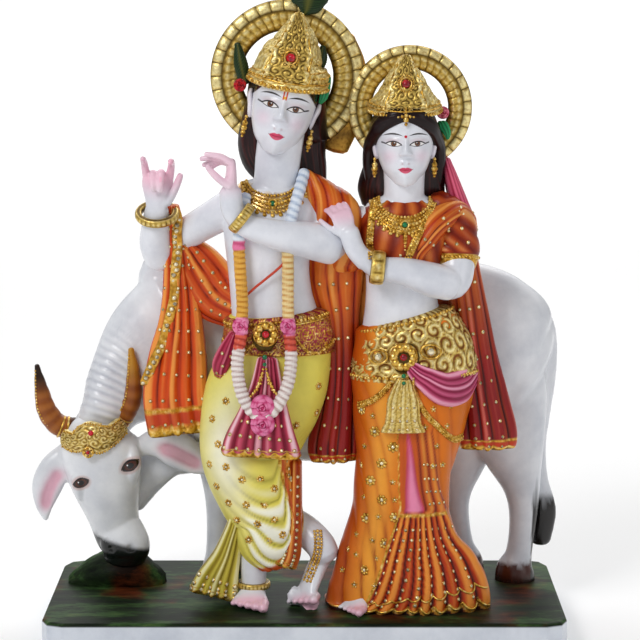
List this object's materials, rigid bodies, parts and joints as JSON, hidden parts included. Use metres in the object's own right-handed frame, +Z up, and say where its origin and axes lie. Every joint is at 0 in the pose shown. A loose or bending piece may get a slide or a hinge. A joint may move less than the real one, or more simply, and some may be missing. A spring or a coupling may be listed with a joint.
{
  "type": "radha krishna statue",
  "caption": "Painted and gilded marble temple group carved from one block: a flute player and his consort standing before a grazing white cow on a slab.",
  "frame": {"origin": "middle of the slab's flat underside, where the group stands", "axes": "+Z up, the figures look along -Y, +X to the right of someone who faces them"},
  "size_m": [0.5521, 0.246, 0.6549],
  "materials": {
    "marble": "polished white marble, painted and gilded",
    "gilding": "gold leaf over raised work, antiqued in the hollows",
    "painted_cloth": "glossy enamel paint on carved cloth"
  },
  "bodies": {
    "root": {"statue": "marble"}
  },
  "joints": []
}
